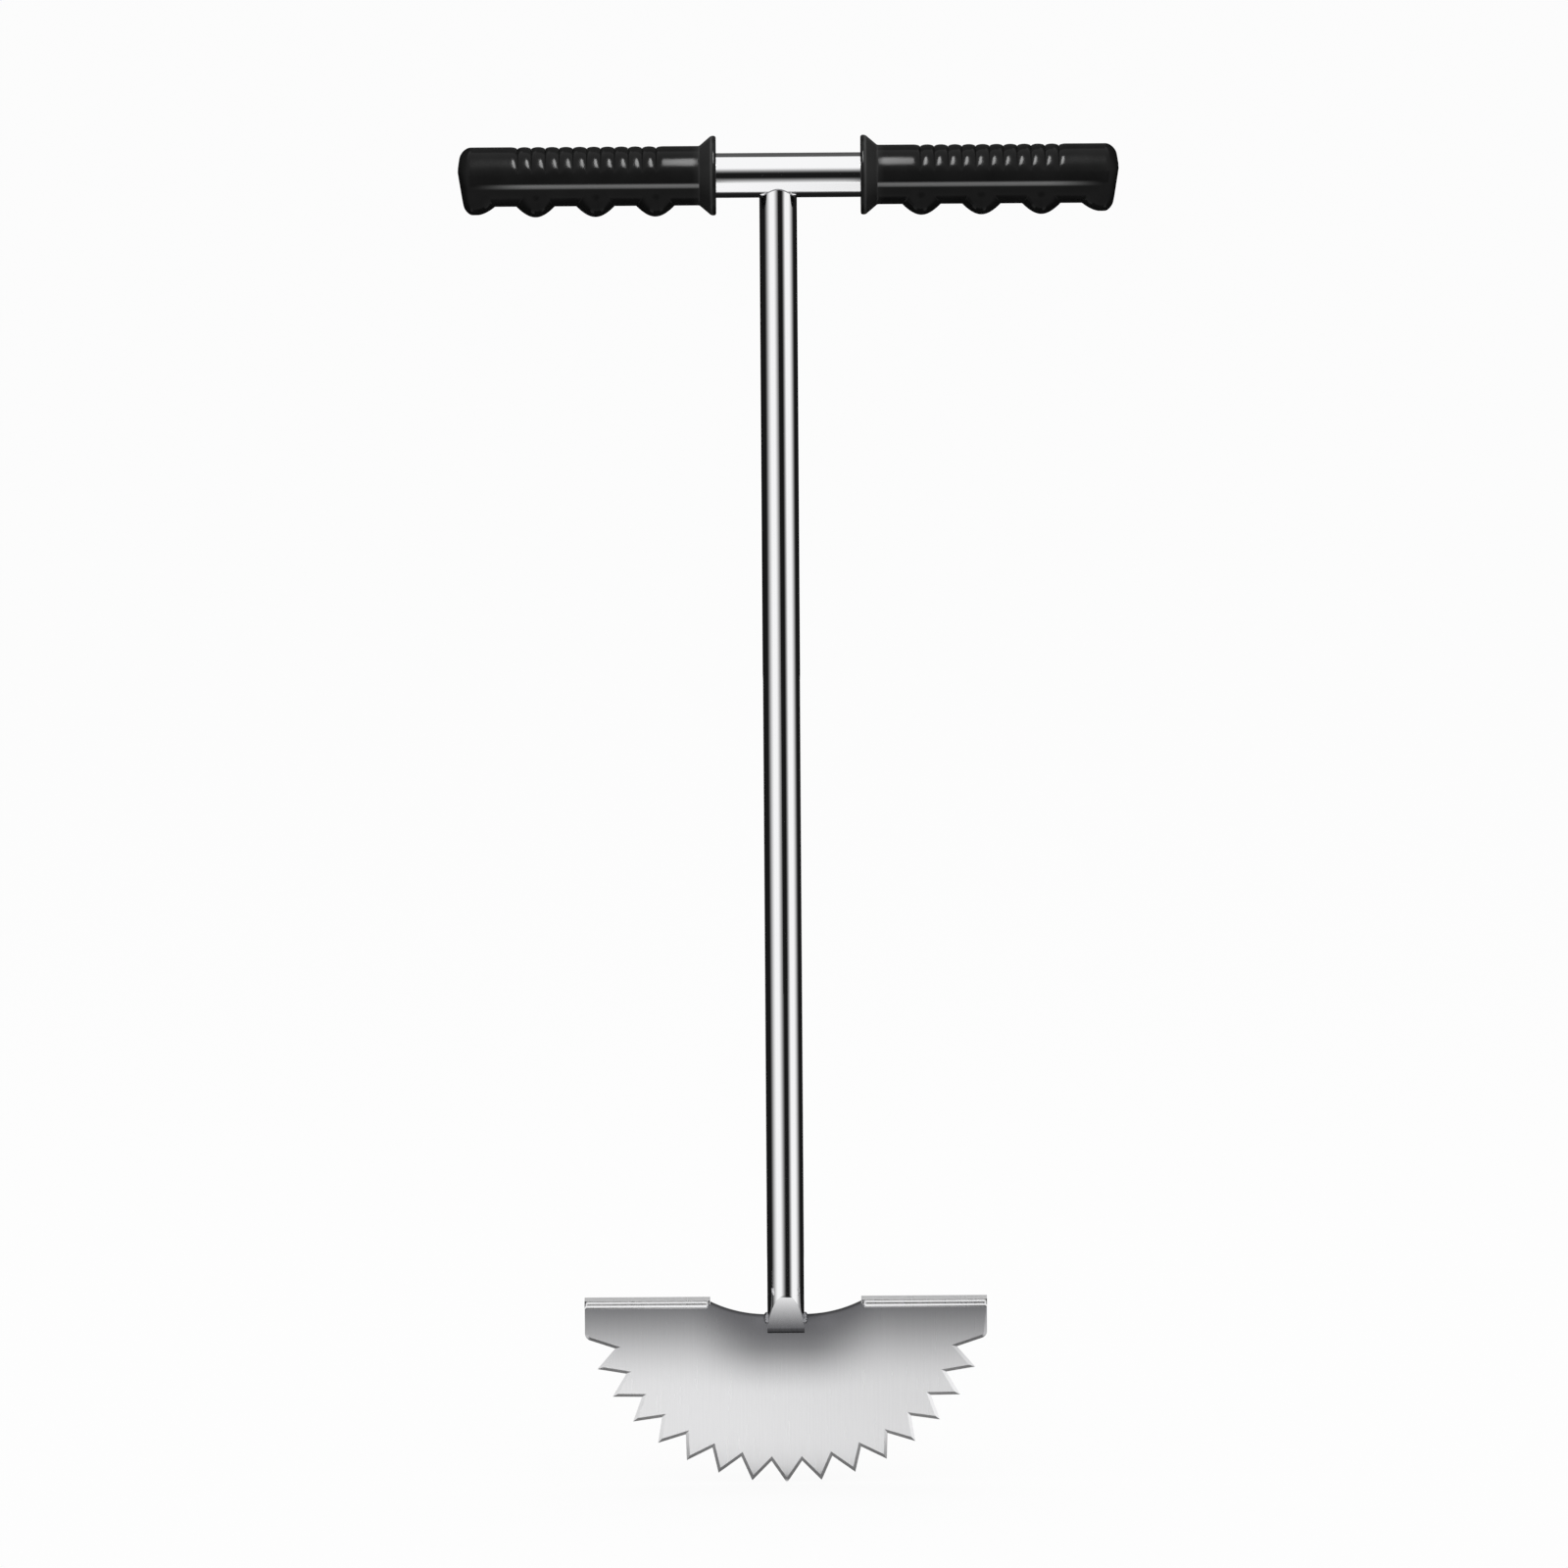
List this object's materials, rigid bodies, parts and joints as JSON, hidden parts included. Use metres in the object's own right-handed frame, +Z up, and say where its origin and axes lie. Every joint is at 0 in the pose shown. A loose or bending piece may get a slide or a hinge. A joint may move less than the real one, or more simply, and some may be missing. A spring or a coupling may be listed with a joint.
{
  "type": "half moon edger",
  "caption": "Lawn edger with a toothed half moon sheet blade, folded foot treads, a tubular shaft and a T handle with moulded finger grips, for cutting clean turf edges.",
  "frame": {"origin": "on the floor plane that touches the lowest tooth tip, under the middle of the handle and in the plane of the two tubes' axes", "axes": "+Z up along the shaft, +X to the right along the crossbar seen from the front, -Y out of the front, the way the treads project"},
  "size_m": [0.375, 0.0452, 0.7736],
  "materials": {
    "blade_steel": "brushed stainless sheet, grain up and down",
    "tube_chrome": "mirror polished",
    "grip_vinyl": "moulded black vinyl, satin",
    "weld_metal": "dressed weld, satin"
  },
  "bodies": {
    "root": {"blade": "blade_steel", "shaft": "tube_chrome", "crossbar": "tube_chrome", "left_grip": "grip_vinyl", "right_grip": "grip_vinyl", "crossbar_weld": "weld_metal", "blade_weld_front": "weld_metal", "blade_weld_back": "weld_metal"}
  },
  "joints": []
}
